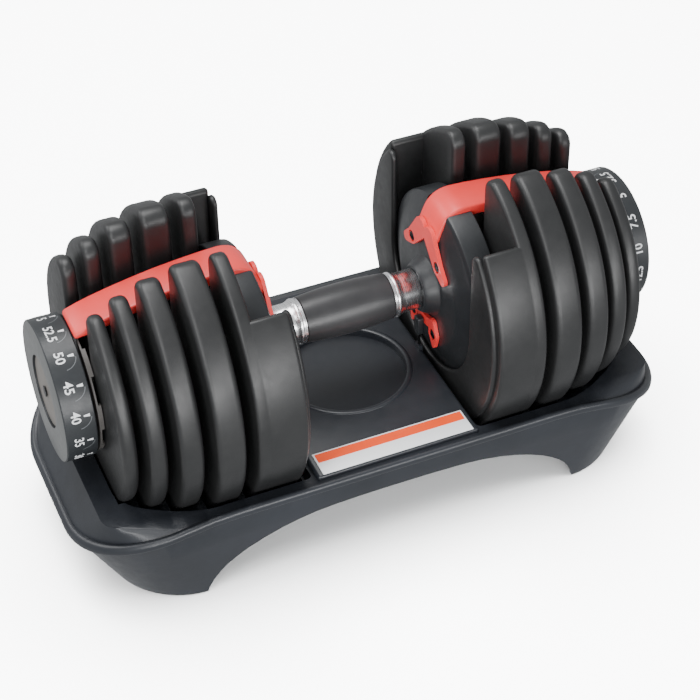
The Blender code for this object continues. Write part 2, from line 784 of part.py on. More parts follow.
def tray_leg(x, y):
    """A post inside the skirt, from the underside of a well down to its rubber foot."""
    leg = cutter(cylinder(LEG_RADIUS, FOOT_HEIGHT + GAP, 0.0600, 16), f"tray_leg_{x}_{y}")
    leg.location = (x * LEG_X, y * LEG_Y, 0)
    return leg


def make_feet():
    names = {(-1, -1): "front_left", (1, -1): "front_right", (-1, 1): "back_left", (1, 1): "back_right"}
    for (x, y), name in names.items():
        foot = object_from(cylinder(LEG_RADIUS - 0.0015, 0.0, FOOT_HEIGHT, 16), f"foot_{name}", RUBBER)
        foot.location = (x * LEG_X, y * LEG_Y, 0)


def make_label():
    length, width, thickness = LABEL_SIZE
    low = (-length / 2, -width / 2, CENTRE_Z + GAP)
    high = (length / 2, width / 2, CENTRE_Z + GAP + thickness)
    label = object_from(box(low, high), "label", PAPER)
    label.location = (0, LABEL_Y, 0)


# ---- assembly ----
def make_side(side, sign):
    fixed = side_frame(f"handle_end_{side}", sign)
    make_collar(side, fixed)
    make_flange(side, fixed)
    make_bridge(side, fixed)
    make_lower_bracket(side, fixed)
    make_bridge_screws(side, fixed)
    make_bearing(side, fixed)
    make_lock_pin(side, sign)
    dial_axis = side_frame(f"dial_axis_{side}", sign)
    make_axle(side, dial_axis)
    for number in range(len(PLATES)):
        make_disc(side, number, dial_axis)
    make_dial(side, dial_axis)
    make_dial_cap(side, dial_axis)
    for row in PLATES:
        plate, frame = make_plate(side, sign, row)
        if row is PLATES[0]:
            add_pad(plate, frame, row[1], row[3])


clear_scene()
PARTS = new_collection("adjustable_dumbbell")
CUTTERS = new_collection("cutters")
TRAY = material("tray_plastic", (0.060, 0.066, 0.078), 0.38)
PLATE = material("plate_coating", (0.045, 0.046, 0.048), 0.42)
HOUSING = material("black_nylon", (0.035, 0.036, 0.040), 0.40)
RUBBER = material("rubber", (0.020, 0.020, 0.021), 0.55)
RED = material("red_nylon", (0.72, 0.065, 0.060), 0.38)
CHROME = material("chrome", (0.80, 0.80, 0.80), 0.06, 1.0)
STEEL = material("steel", (0.45, 0.45, 0.46), 0.32, 1.0)
SCREW_STEEL = material("screw_steel", (0.12, 0.12, 0.12), 0.35, 1.0)
DISC = material("selector_nylon", (0.030, 0.030, 0.032), 0.45)
DIAL = material("dial_plastic", (0.050, 0.053, 0.058), 0.42)
CAP = material("cap_plastic", (0.20, 0.19, 0.18), 0.45)
PAPER = material("label_film", (0.85, 0.86, 0.88), 0.35)

make_tray()
make_feet()
make_label()
make_handle(side_frame("handle_axis", 1))
for side_name, direction in SIDES:
    make_side(side_name, direction)
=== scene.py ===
"""Looks for the adjustable dumbbell in its tray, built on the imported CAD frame. Metres, +Z up."""

import json
import math

import bmesh
import bpy
from mathutils import Matrix, Vector

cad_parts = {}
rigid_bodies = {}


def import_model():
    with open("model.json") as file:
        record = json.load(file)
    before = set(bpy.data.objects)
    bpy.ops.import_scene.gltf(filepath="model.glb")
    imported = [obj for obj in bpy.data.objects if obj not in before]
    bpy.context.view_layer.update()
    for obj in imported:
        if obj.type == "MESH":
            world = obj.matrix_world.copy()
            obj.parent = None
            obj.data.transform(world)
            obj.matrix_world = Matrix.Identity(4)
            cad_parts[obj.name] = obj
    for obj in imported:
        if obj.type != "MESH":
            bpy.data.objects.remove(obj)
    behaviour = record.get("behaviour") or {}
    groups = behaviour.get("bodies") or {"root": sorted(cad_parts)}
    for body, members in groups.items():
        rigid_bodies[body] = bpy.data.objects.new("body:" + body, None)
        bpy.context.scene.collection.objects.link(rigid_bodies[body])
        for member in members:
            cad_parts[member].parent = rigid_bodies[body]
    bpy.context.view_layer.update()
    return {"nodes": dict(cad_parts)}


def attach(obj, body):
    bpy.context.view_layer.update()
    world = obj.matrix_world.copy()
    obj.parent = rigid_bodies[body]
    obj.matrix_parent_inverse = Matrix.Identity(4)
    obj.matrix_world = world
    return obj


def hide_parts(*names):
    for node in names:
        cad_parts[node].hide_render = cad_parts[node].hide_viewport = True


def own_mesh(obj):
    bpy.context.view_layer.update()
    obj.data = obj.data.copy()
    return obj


for old in list(bpy.data.objects):
    bpy.data.objects.remove(old, do_unlink=True)

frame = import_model()

# Angles are in degrees. Each side is built in a local frame: +Z points outwards along the handle, +X
# points up, and the origin is on the handle's axis.
AXIS_Z = 0.129
SIDES = (("left", -1), ("right", 1))

# Plates: name, inner face, outer face, radius
PLATES = (
    ("plate_10lb", 0.0865, 0.0965, 0.09848),
    ("plate_5lb_a", 0.1035, 0.1220, 0.0980),
    ("plate_5lb_b", 0.1285, 0.1432, 0.0935),
    ("plate_2p5lb", 0.1490, 0.1600, 0.0870),
    ("plate_1p25lb", 0.1650, 0.1745, 0.0790),
)
SLOT_HALF, SLOT_MOUTH = 0.022, 0.0091
PLATE_BEVEL, HEAVY_BEVEL = 0.0040, 0.0030
PAD_FACE, PAD_HALF, PAD_MOUTH, PAD_BEVEL = 0.0638, 0.066, 0.0030, 0.0026
PAD_LIP_FACE, PAD_LIP_BACK, PAD_LIP_BEVEL = 0.0607, 0.0650, 0.0022
PAD_LIP_RADIUS, PAD_LIP_HALF, PAD_LIP_MOUTH = 0.0930, 0.0585, 0.0055
HOOK_LOW, HOOK_HIGH, HOOK_HALF, HOOK_REACH = -0.0395, -0.0355, 0.0045, 0.0022
OVERLAP = 0.0010

# Handle
GRIP_END, GRIP_RADIUS, GRIP_SWELL, GRIP_STEPS = 0.0300, 0.0152, 0.0017, 24
TUBE_HOLE, AXLE_HOLE = 0.0128, 0.0063
BRIDGE_HALF, BRIDGE_BEVEL = 0.0135, 0.0016
GAP = 0.0003
EAR_LOW, EAR_HIGH, EAR_NUDGE = 0.0565, 0.0592, 0.00005
STRAP_NUDGE = 0.00003
SCREW_CIRCLE = 0.0337
SCREW_ANGLES = (34.0, -34.0, 154.0, -154.0)
EAR_RADIUS = 0.0056
COUNTERBORE, COUNTERBORE_LOW, COUNTERBORE_HIGH = 0.0040, 0.0560, 0.0578
BRACKET_INNER, BRACKET_OUTER, BRACKET_START, BRACKET_END = 0.0225, 0.0296, 148, 212

# Lock pin, its guide and its spring
LOCK_X = 0.0542
LOCK_BORE = 0.0014
SPRING_LOW, SPRING_HIGH, SPRING_KEEP = 0.0935, 0.1010, 0.58
SPRING_RADIUS, SPRING_WIRE, SPRING_TURNS, SPRING_STEPS = 0.0008, 0.00018, 4, 96

# Selector and dial
SETTINGS = ("5", "7.5", "10", "12.5", "15", "17.5", "20", "22.5", "25", "30", "35", "40", "45", "50", "52.5")
SETTING_STEP = 360 / len(SETTINGS)
LIFTING = (
    (8, 9, 10, 11, 12, 13, 14),
    (4, 5, 6, 7, 10, 11, 12, 13, 14),
    (12, 13, 14),
    (2, 3, 6, 7, 9, 11, 13, 14),
    (1, 3, 5, 7, 14),
)
DISC_RADIUS, DISC_LIP_RADIUS, DISC_GAP, DISC_THICKNESS = 0.0435, 0.0405, 0.0025, 0.0011
LIP_GAP, LIP_SINK, LIP_OVERLAP = 0.0007, 0.0005, 0.05
DIAL_RADIUS, DIAL_LOW, DIAL_HIGH, DIAL_WEB = 0.0455, 0.1800, 0.2000, 0.1950
DIAL_OFFSET = -3.7
NUMBER_SIZE, NUMBER_ALONG, NUMBER_LIFT = 0.0082, 0.1922, 0.00008
WEDGE_ALONG, WEDGE_LIFT = 0.1850, 0.00010
# The arcs are painted highlights: flat lighter quarter arcs for light caught on the edge of a thumb dimple
# round each number.
ARC_INNER, ARC_OUTER, ARC_START, ARC_END, ARC_STEPS = 0.0082, 0.0087, 5, 80, 20
ARC_ALONG, ARC_LIFT = 0.1906, 0.00004

# Tray
LIP_LENGTH, LIP_WIDTH, LIP_CORNER = 0.2070, 0.0955, 0.0620
LIP_TOP, LIP_DROP, LIP_LEVEL = 0.0755, 0.0265, 0.110
CORNER_STEPS, FLAT_STEPS = 18, 16
TRAY_FOOT = (0.1810, 0.0825, 0.0520, 0.0012)
DECK = (0.1900, 0.0755, 0.0120, 0.0720)
CENTRE_HALF, CENTRE_WIDTH, CENTRE_LOW, CENTRE_TOP = 0.0555, 0.0885, 0.0675, 0.0770
WELL_START, WELL_WALL, WELL_GAP, WELL_ROOM, WELL_RIB = 0.0595, 0.0026, 0.0012, 0.0006, 0.0730
WELL_CORNER, WELL_TOP = 0.004, 0.0710
LEG_RADIUS, LEG_X, LEG_Y, LEG_LOW, LEG_HIGH = 0.0120, 0.150, 0.058, 0.0043, 0.0600
RECESS_RADIUS, RECESS_FLOOR = 0.0410, 0.0725
ARCH_REACH, END_ARCH_DROP, END_ARCH_RADIUS, END_ARCH_REACH = 0.12, 0.030, 0.060, 0.25
POST_HALF, POST_WIDTH, POST_LOW, POST_TOP = 0.0013, 0.0030, 0.0765, 0.0807
LABEL_HALF, LABEL_DEPTH, LABEL_Y, LABEL_Z, LABEL_THICKNESS = 0.0519, 0.00975, -0.0782, 0.07735, 0.00045
BAND_MARGIN, BAND_DEPTH, BAND_LOW, BAND_HIGH = 0.0012, 0.0088, 0.0004, 0.0006

# Materials
METAL_LINES, METAL_SQUEEZE = 60, 3600
NOISE_LOW, NOISE_HIGH = 0.3, 0.7

# Camera
CAMERA_TURN, CAMERA_RISE, CAMERA_ROLL = -22.734, 40.1311, -0.8822
CAMERA_LENS, CAMERA_FILM = 97.51, 36
CAMERA_PLACE = (-0.3647, -0.8800, 0.7674 + AXIS_Z)


# ---- mesh helpers ----
def add(name, mesh, mat):
    obj = bpy.data.objects.new(name, mesh)
    if mat:
        mesh.materials.append(mat)
    bpy.context.scene.collection.objects.link(obj)
    return obj


def curve_mesh(curve):
    """The mesh that a curve or text evaluates to."""
    drawn = bpy.data.objects.new("drawn", curve)
    bpy.context.scene.collection.objects.link(drawn)
    bpy.context.view_layer.update()
    graph = bpy.context.evaluated_depsgraph_get()
    mesh = bpy.data.meshes.new_from_object(drawn.evaluated_get(graph))
    bpy.data.objects.remove(drawn, do_unlink=True)
    return mesh


def from_bmesh(bm, name, mat=None, angle=40):
    bmesh.ops.recalc_face_normals(bm, faces=bm.faces)
    mesh = bpy.data.meshes.new(name)
    bm.to_mesh(mesh)
    bm.free()
    mesh.shade_smooth()
    mesh.set_sharp_from_angle(angle=math.radians(angle))
    return add(name, mesh, mat)


def side_matrix(sign):
    """Local +Z points outwards along the handle and local +X points up."""
    turn = Matrix(((0, 0, sign), (0, -sign, 0), (1, 0, 0))).to_4x4()
    return Matrix.Translation((0, 0, AXIS_Z)) @ turn


def settle(obj, matrix=None, angle=40):
    """Applies the modifiers, and the matrix, so that the piece's place is in its mesh."""
    bpy.context.view_layer.update()
    graph = bpy.context.evaluated_depsgraph_get()
    mesh = bpy.data.meshes.new_from_object(obj.evaluated_get(graph))
    if matrix is not None:
        mesh.transform(matrix)
    obj.modifiers.clear()
    old = obj.data
    obj.data = mesh
    bpy.data.meshes.remove(old)
    mesh.shade_smooth()
    mesh.set_sharp_from_angle(angle=math.radians(angle))
    return obj


def drop(*objects):
    for obj in objects:
        bpy.data.objects.remove(obj, do_unlink=True)


def bevel(obj, width, segments=3, angle=35):
    modifier = obj.modifiers.new("bevel", "BEVEL")
    modifier.width = width
    modifier.segments = segments
    modifier.limit_method = "ANGLE"
    modifier.angle_limit = math.radians(angle)


def boolean(obj, other, operation="DIFFERENCE"):
    modifier = obj.modifiers.new(operation.lower(), "BOOLEAN")
    modifier.operation = operation
    modifier.object = other
    modifier.solver = "EXACT"


def arc(centre, radius, start, end, steps):
    """Points along an arc, both ends included. Angles in degrees."""
    points = []
    for step in range(steps + 1):
        angle = math.radians(start + (end - start) * step / steps)
        points.append((centre[0] + radius * math.cos(angle), centre[1] + radius * math.sin(angle)))
    return points


def prism(name, loops, low, high, mat=None):
    """A plate between two heights with the given closed outlines; inner ones are holes."""
    curve = bpy.data.curves.new(name, "CURVE")
    curve.dimensions = "2D"
    curve.fill_mode = "BOTH"
    curve.extrude = (high - low) / 2
    for loop in loops:
        spline = curve.splines.new("POLY")
        spline.points.add(len(loop) - 1)
        for point, (x, y) in zip(spline.points, loop):
            point.co = (x, y, 0, 1)
        spline.use_cyclic_u = True
    mesh = curve_mesh(curve)
    bm = bmesh.new()
    bm.from_mesh(mesh)
    bpy.data.meshes.remove(mesh)
    bmesh.ops.remove_doubles(bm, verts=bm.verts, dist=0.000005)
    bmesh.ops.dissolve_limit(bm, angle_limit=0.005, verts=bm.verts, edges=bm.edges)
    bmesh.ops.translate(bm, verts=bm.verts, vec=(0, 0, (low + high) / 2))
    return from_bmesh(bm, name, mat)


def lathe(name, profile, mat, steps=72, closed=True, angle=40):
    """A turned piece about local Z. profile lists (radius, height)."""
    bm = bmesh.new()
    rings = []
    for radius, height in profile:
        if radius < 1e-7:
            rings.append([bm.verts.new((0, 0, height))])
            continue
        ring = []
        for step in range(steps):
            turn = 2 * math.pi * step / steps
            ring.append(bm.verts.new((radius * math.cos(turn), radius * math.sin(turn), height)))
        rings.append(ring)
    pairs = list(zip(rings, rings[1:]))
    if closed:
        pairs.append((rings[-1], rings[0]))
    for one, two in pairs:
        for step in range(steps):
            after = (step + 1) % steps
            if len(one) == 1 and len(two) == 1:
                break
            if len(one) == 1:
                bm.faces.new((one[0], two[step], two[after]))
            elif len(two) == 1:
                bm.faces.new((one[step], one[after], two[0]))
            else:
                bm.faces.new((one[step], one[after], two[after], two[step]))
    return from_bmesh(bm, name, mat, angle)


def block(low, high, name, mat=None):
    bm = bmesh.new()
    size = [b - a for a, b in zip(low, high)]
    middle = [(a + b) / 2 for a, b in zip(low, high)]
    bmesh.ops.create_cube(bm, size=1, matrix=Matrix.Translation(middle) @ Matrix.Diagonal((*size, 1)))
    return from_bmesh(bm, name, mat)


def rod(name, radius, low, high, segments=48):
    profile = ((0, low), (radius, low), (radius, high), (0, high))
    return lathe(name, profile, None, segments, closed=False)


def round_corners(points, radius, steps=4):
    """The outline with every corner rounded as far as its neighbours allow."""
    out = []
    count = len(points)
    for place, (x, y) in enumerate(points):
        before, after = Vector(points[place - 1]), Vector(points[(place + 1) % count])
        here = Vector((x, y))
        a, b = before - here, after - here
        reach = min(radius, a.length * 0.45, b.length * 0.45)
        start, end = here + a.normalized() * reach, here + b.normalized() * reach
        for step in range(steps + 1):
            t = step / steps
            spot = start * (1 - t) ** 2 + here * 2 * t * (1 - t) + end * t**2
            out.append((spot.x, spot.y))
    return out


# ---- materials ----
def new_material(name, colour, roughness, metallic):
    mat = bpy.data.materials.new(name)
    mat.use_nodes = True
    shader = mat.node_tree.nodes["Principled BSDF"]
    shader.inputs["Base Color"].default_value = (*colour, 1)
    shader.inputs["Roughness"].default_value = roughness
    shader.inputs["Metallic"].default_value = metallic
    return mat, mat.node_tree, shader


def node(tree, kind, **values):
    made = tree.nodes.new(kind)
    for key, value in values.items():
        made.inputs[key].default_value = value
    return made


def gloss_range(tree, shader, source, low, high):
    """Roughness between low and high, driven by a noise output."""
    gloss = node(tree, "ShaderNodeMapRange")
    gloss.inputs["From Min"].default_value = NOISE_LOW
    gloss.inputs["From Max"].default_value = NOISE_HIGH
    gloss.inputs["To Min"].default_value = low
    gloss.inputs["To Max"].default_value = high
    tree.links.new(source, gloss.inputs["Value"])
    tree.links.new(gloss.outputs["Result"], shader.inputs["Roughness"])


def relief(tree, shader, source, strength, depth):
    bump = node(tree, "ShaderNodeBump", Strength=strength, Distance=depth)
    tree.links.new(source, bump.inputs["Height"])
    tree.links.new(bump.outputs["Normal"], shader.inputs["Normal"])


def moulded(name, dark, light, rough, grain, depth, mottle=18, spread=0.10):
    """Moulded or coated surface: a fine grain in relief, a soft mottle in colour and gloss."""
    mat, tree, shader = new_material(name, dark, rough, 0.0)
    link = tree.links.new
    place = node(tree, "ShaderNodeTexCoord")
    broad = node(tree, "ShaderNodeTexNoise", Scale=mottle, Detail=5.0, Roughness=0.6)
    link(place.outputs["Object"], broad.inputs["Vector"])
    ramp = node(tree, "ShaderNodeValToRGB")
    ramp.color_ramp.elements[0].position = 0.32
    ramp.color_ramp.elements[0].color = (*dark, 1)
    ramp.color_ramp.elements[1].position = 0.70
    ramp.color_ramp.elements[1].color = (*light, 1)
    link(broad.outputs["Fac"], ramp.inputs["Fac"])
    link(ramp.outputs["Color"], shader.inputs["Base Color"])
    wear = node(tree, "ShaderNodeTexNoise", Scale=mottle * 7, Detail=6.0, Roughness=0.65)
    link(place.outputs["Object"], wear.inputs["Vector"])
    gloss_range(tree, shader, wear.outputs["Fac"], rough - spread / 2, rough + spread / 2)
    fine = node(tree, "ShaderNodeTexVoronoi", Scale=grain)
    link(place.outputs["Object"], fine.inputs["Vector"])
    relief(tree, shader, fine.outputs["Distance"], 0.35, depth)
    return mat


def brushed(name, colour, rough, depth=0.00002):
    """Metal with fine lines that run round the handle's axis."""
    mat, tree, shader = new_material(name, colour, rough, 1.0)
    link = tree.links.new
    place = node(tree, "ShaderNodeTexCoord")
    scale = node(tree, "ShaderNodeMapping")
    scale.inputs["Scale"].default_value = (METAL_SQUEEZE, METAL_LINES, METAL_LINES)
    link(place.outputs["Object"], scale.inputs["Vector"])
    lines = node(tree, "ShaderNodeTexNoise", Scale=1.0, Detail=4.0, Roughness=0.6)
    link(scale.outputs["Vector"], lines.inputs["Vector"])
    gloss_range(tree, shader, lines.outputs["Fac"], rough * 0.7, rough * 1.4)
    relief(tree, shader, lines.outputs["Fac"], 0.3, depth)
    return mat


TRAY = moulded("tray_plastic_look", (0.014, 0.016, 0.020), (0.020, 0.023, 0.029), 0.36, 1100, 0.00007)
PLATE = moulded("plate_coat_look", (0.011, 0.0115, 0.012), (0.018, 0.0185, 0.0190), 0.42, 1300, 0.00005, 24)
HOUSING = moulded("housing_look", (0.013, 0.0145, 0.0165), (0.019, 0.021, 0.0235), 0.38, 1200, 0.00005, 22)
RED = moulded("bridge_red_look", (0.80, 0.040, 0.036), (0.90, 0.056, 0.050), 0.36, 1500, 0.00004, 20, 0.08)
DIAL = moulded("dial_look", (0.016, 0.018, 0.020), (0.024, 0.027, 0.030), 0.40, 1400, 0.00004, 30)
# The dial's outer face is a lighter copy of the dial plastic: painted sheen for the glancing light that
# falls on it.
DIAL_FACE_PAINTED_SHEEN = moulded("dial_face_painted_sheen_look", (0.075, 0.080, 0.080), (0.100, 0.104, 0.104), 0.32, 1400, 0.00003, 30)
CAP = moulded("dial_cap_look", (0.150, 0.138, 0.126), (0.185, 0.170, 0.156), 0.45, 1400, 0.00003, 30)
RUBBER = moulded("grip_rubber_look", (0.022, 0.022, 0.023), (0.032, 0.032, 0.034), 0.36, 1800, 0.00006, 40)
FOOT = moulded("foot_rubber_look", (0.016, 0.016, 0.016), (0.026, 0.026, 0.026), 0.65, 1500, 0.00008, 40)
SELECTOR = moulded("selector_look", (0.070, 0.066, 0.062), (0.092, 0.087, 0.082), 0.48, 1500, 0.00004, 40)
INK = moulded("ink_look", (0.74, 0.75, 0.76), (0.82, 0.83, 0.84), 0.45, 2500, 0.00001, 300)
# Painted highlight: the lighter colour of the arcs that stand for light on the dimples' edges.
GLINT_PAINT = moulded("painted_glint_arc_look", (0.110, 0.118, 0.125), (0.135, 0.143, 0.150), 0.38, 2500, 0.00001, 300)
CHROME = brushed("chrome_look", (0.92, 0.92, 0.93), 0.24, 0.000004)
STEEL = brushed("steel_look", (0.55, 0.55, 0.56), 0.26)
SCREW = brushed("screw_look", (0.035, 0.035, 0.037), 0.34)
PAPER = moulded("label_white_look", (0.88, 0.90, 0.92), (0.93, 0.94, 0.95), 0.32, 900, 0.00001, 60, 0.05)
ORANGE = moulded("label_orange_look", (0.90, 0.07, 0.004), (0.96, 0.09, 0.008), 0.34, 900, 0.00001, 60, 0.05)


# ---- plates ----
def slotted_disc(radius, half, mouth):
    """A disc's outline with a slot open at the top, round at its bottom and at its mouth."""
    gone = half + mouth
    centre_up = math.sqrt((radius - mouth) ** 2 - gone**2)
    tangent = math.degrees(math.atan2(gone, centre_up))
    rim = arc((0, 0), radius, tangent, 360 - tangent, 120)
    lower_mouth = arc((centre_up, -gone), mouth, -tangent, 90, 8)[1:]
    bottom = arc((0, 0), half, 270, 90, 28)
    upper_mouth = arc((centre_up, gone), mouth, -90, tangent, 8)[:-1]
    return rim + lower_mouth + bottom + upper_mouth


def make_pad(inner, radius):
    """The innermost plate's thick pad and the lip on it, open for the handle's flange."""
    body = slotted_disc(radius, PAD_HALF, PAD_MOUTH)
    lip = slotted_disc(PAD_LIP_RADIUS, PAD_LIP_HALF, PAD_LIP_MOUTH)
    pad = prism("pad", [body], PAD_FACE, inner + 0.0040)
    rim = prism("pad_lip", [lip], PAD_LIP_FACE, PAD_LIP_BACK)
    bevel(pad, PAD_BEVEL, 3)
    bevel(rim, PAD_LIP_BEVEL, 3)
    return [pad, rim]


def make_plate(side, sign, row):
    name, inner, outer, radius = row
    heavy = row is PLATES[0]
    outline = slotted_disc(radius, SLOT_HALF, SLOT_MOUTH)
    plate = prism(f"{name}_{side}_look", [outline], inner, outer, PLATE)
    bevel(plate, HEAVY_BEVEL if heavy else PLATE_BEVEL, 4)
    extra = make_pad(inner, radius) if heavy else []
    low = (HOOK_LOW, -HOOK_HALF, outer - OVERLAP)
    high = (HOOK_HIGH, HOOK_HALF, outer + HOOK_REACH)
    extra.append(block(low, high, "hook"))
    for other in extra:
        boolean(plate, other, "UNION")
    settle(plate, side_matrix(sign))
    drop(*extra)
    return plate


# ---- handle ----
def make_grip():
    profile = []
    for step in range(GRIP_STEPS + 1):
        place = 1 - 2 * step / GRIP_STEPS
        profile.append((GRIP_RADIUS + GRIP_SWELL * (1 - place**2), place * GRIP_END))
    edge, end = GRIP_RADIUS - 0.0006, GRIP_END + 0.0005
    profile = [(edge, end), *profile, (edge, -end), (TUBE_HOLE, -end), (TUBE_HOLE, end)]
    grip = lathe("grip_look", profile, RUBBER, 96)
    return settle(grip, side_matrix(1))


def make_collar(side, sign):
    profile = (
        (0.0130, 0.0502), (0.0134, 0.0498), (0.0134, 0.0388), (0.0138, 0.0372), (0.0147, 0.0352),
        (0.0151, 0.0346), (0.0152, 0.0338), (0.0151, 0.0330), (0.0146, 0.0326), (0.0142, 0.0324),
        (0.0142, 0.0316), (0.0146, 0.0314), (0.0150, 0.0312), (0.0150, 0.0308), (TUBE_HOLE, 0.0308),
        (TUBE_HOLE, 0.0502),
    )
    collar = lathe(f"collar_{side}_look", profile, CHROME, 96, angle=60)
    return settle(collar, side_matrix(sign), 60)


def make_flange(side, sign):
    bore = TUBE_HOLE
    profile = (
        (0.0590, 0.0830), (0.0624, 0.0830), (0.0630, 0.0824), (0.0630, 0.0676), (0.0626, 0.0662),
        (0.0614, 0.0653), (0.0590, 0.0648), (0.0560, 0.0641), (0.0500, 0.0618), (0.0430, 0.0598),
        (0.0405, 0.0595), (0.0222, 0.0595), (0.0210, 0.0592), (0.0205, 0.0586), (0.0190, 0.0560),
        (0.0170, 0.0527), (0.0160, 0.0512), (0.0152, 0.0505), (bore, 0.0505), (bore, 0.0603),
        (AXLE_HOLE, 0.0603), (AXLE_HOLE, 0.0830), (0.0150, 0.0830), (0.0160, 0.0680), (0.0590, 0.0690),
    )
    flange = lathe(f"hub_flange_{side}_look", profile, HOUSING, 96, angle=30)
    channel = ((0.0500, 0.0396), (0.0610, 0.0396), (0.0673, 0.0551), (0.0850, 0.0563), (0.0850, 0.0750),
               (0.0500, 0.0750))
    notch = side_prism("notch", channel, BRIDGE_HALF + GAP)
    boolean(flange, notch)
    settle(flange, side_matrix(sign), 30)
    drop(notch)
    return flange


def side_prism(name, points, half, mat=None):
    """A prism across the handle, from an outline of (along, up) points."""
    made = prism(name, [points], -half, half, mat)
    made.data.transform(Matrix(((0, 1, 0), (0, 0, 1), (1, 0, 0))).to_4x4())
    return made


def screw_place(angle):
    turn = math.radians(angle)
    return (SCREW_CIRCLE * math.cos(turn), SCREW_CIRCLE * math.sin(turn))


def strap(name, spots, low, high):
    """A flat strap whose outline wraps round the given circles, each (up, across, radius)."""
    joined = None
    for place, (one, two) in enumerate(zip(spots, spots[1:])):
        (x1, y1, r1), (x2, y2, r2) = one, two
        heading = math.degrees(math.atan2(y2 - y1, x2 - x1))
        lean = math.degrees(math.acos((r1 - r2) / math.hypot(x2 - x1, y2 - y1)))
        outline = arc((x1, y1), r1, heading + lean, heading + 360 - lean, 20)
        outline += arc((x2, y2), r2, heading - lean, heading + lean, 14)
        nudge = STRAP_NUDGE * place
        part = prism(f"{name}_{place}", [outline], low + nudge, high - nudge)
        if joined is None:
            joined = part
            continue
        boolean(joined, part, "UNION")
        settle(joined)
        drop(part)
    return joined


def strap_pair(name, spots):
    """A strap and its mirror image, a little thinner so that no faces coincide."""
    other = strap(name, mirrored(spots), EAR_LOW + EAR_NUDGE, EAR_HIGH - EAR_NUDGE)
    return [strap(name, spots, EAR_LOW, EAR_HIGH), other]


def mirrored(spots):
    return [(x, -y, radius) for x, y, radius in spots]


def on_circle(radius, angle, size):
    turn = math.radians(angle)
    return (radius * math.cos(turn), radius * math.sin(turn), size)


def curved(start, middle, end, steps):
    """Points along a quadratic curve, without its start."""
    points = []
    for step in range(1, steps + 1):
        t = step / steps
        pairs = zip(start, middle, end)
        points.append(tuple(a * (1 - t) ** 2 + 2 * t * (1 - t) * b + c * t**2 for a, b, c in pairs))
    return points


def make_bridge(side, sign):
    shoulder = (0.0618, 0.0540)
    top = [(0.0570, 0.0400), (0.0578, 0.0440), shoulder]
    top += curved(shoulder, (0.0664, 0.0654), (0.0790, 0.0655), 8)
    top += [(0.0900, 0.0650), (0.1050, 0.0636), (0.1200, 0.0618), (0.1350, 0.0593),
            (0.1500, 0.0563), (0.1600, 0.0540), (0.1700, 0.0513), (0.1780, 0.0485), (0.1796, 0.0474)]
    under = [(0.1796, 0.0442), (0.1680, 0.0452), (0.1480, 0.0500), (0.1180, 0.0548),
             (0.0900, 0.0572), (0.0720, 0.0566), (0.0668, 0.0556), (0.0605, 0.0400)]
    bar = side_prism(f"bridge_{side}_look", top + under, BRIDGE_HALF, RED)
    bevel(bar, BRIDGE_BEVEL, 3, 40)
    screw = on_circle(SCREW_CIRCLE, SCREW_ANGLES[0], EAR_RADIUS)
    ears = strap_pair("ear", [(0.0430, 0.0062, 0.0073), screw, on_circle(0.0352, 50, 0.0036)])
    for ear in ears:
        boolean(bar, ear, "UNION")
    holes = [drill(angle) for angle in SCREW_ANGLES[:2]]
    for hole in holes:
        boolean(bar, hole)
    settle(bar, side_matrix(sign), 35)
    drop(*ears, *holes)
    return bar


def drill(angle):
    """A counterbore round a bridge screw."""
    hole = rod("hole", COUNTERBORE, COUNTERBORE_LOW, COUNTERBORE_HIGH)
    x, y = screw_place(angle)
    hole.data.transform(Matrix.Translation((x, y, 0)))
    return hole


def make_lower_bracket(side, sign):
    sector = arc((0, 0), BRACKET_INNER, BRACKET_START, BRACKET_END, 20)
    sector += arc((0, 0), BRACKET_OUTER, BRACKET_END, BRACKET_START, 20)
    bracket = prism(f"lower_bracket_{side}_look", [sector], EAR_LOW + 0.0001, EAR_HIGH - 0.0001, RED)
    screw = on_circle(SCREW_CIRCLE, SCREW_ANGLES[2], EAR_RADIUS)
    joined = strap_pair("arm", [on_circle(0.0262, 150, 0.0036), screw, on_circle(0.0420, 157, 0.0016)])
    for other in joined:
        boolean(bracket, other, "UNION")
    holes = [drill(angle) for angle in SCREW_ANGLES[2:]]
    for hole in holes:
        boolean(bracket, hole)
    settle(bracket, side_matrix(sign), 35)
    drop(*joined, *holes)
    return bracket


def make_lock_housing(side, sign):
    """The black guide behind the lower bracket, with the bore that the lock pin slides in."""
    low, high = (-0.0385, -0.0032, 0.0516), (-0.0250, 0.0032, 0.0564)
    housing = block(low, high, f"lock_housing_{side}", HOUSING)
    bevel(housing, 0.0010, 3)
    bore = rod("bore", LOCK_BORE, -0.0500, -0.0275, 24)
    upright = Matrix.Rotation(math.radians(90), 4, "Y")
    bore.data.transform(Matrix.Translation((0, 0, LOCK_X)) @ upright)
    boolean(housing, bore)
    settle(housing, side_matrix(sign))
    drop(bore)
    return housing


def make_lock_spring(side, sign):
    """A coil between the lock pin and the end of its bore."""
    curve = bpy.data.curves.new("coil", "CURVE")
    curve.dimensions = "3D"
    curve.bevel_depth = SPRING_WIRE
    curve.bevel_resolution = 1
    curve.use_fill_caps = True
    spline = curve.splines.new("POLY")
    spline.points.add(SPRING_STEPS)
    for step, point in enumerate(spline.points):
        share = step / SPRING_STEPS
        turn = 2 * math.pi * SPRING_TURNS * share
        x = sign * LOCK_X + SPRING_RADIUS * math.cos(turn)
        height = SPRING_LOW + (SPRING_HIGH - SPRING_LOW) * share
        point.co = (x, SPRING_RADIUS * math.sin(turn), height, 1)
    mesh = curve_mesh(curve)
    mesh.materials.clear()
    mesh.shade_smooth()
    return add(f"lock_spring_{side}_look", mesh, STEEL)


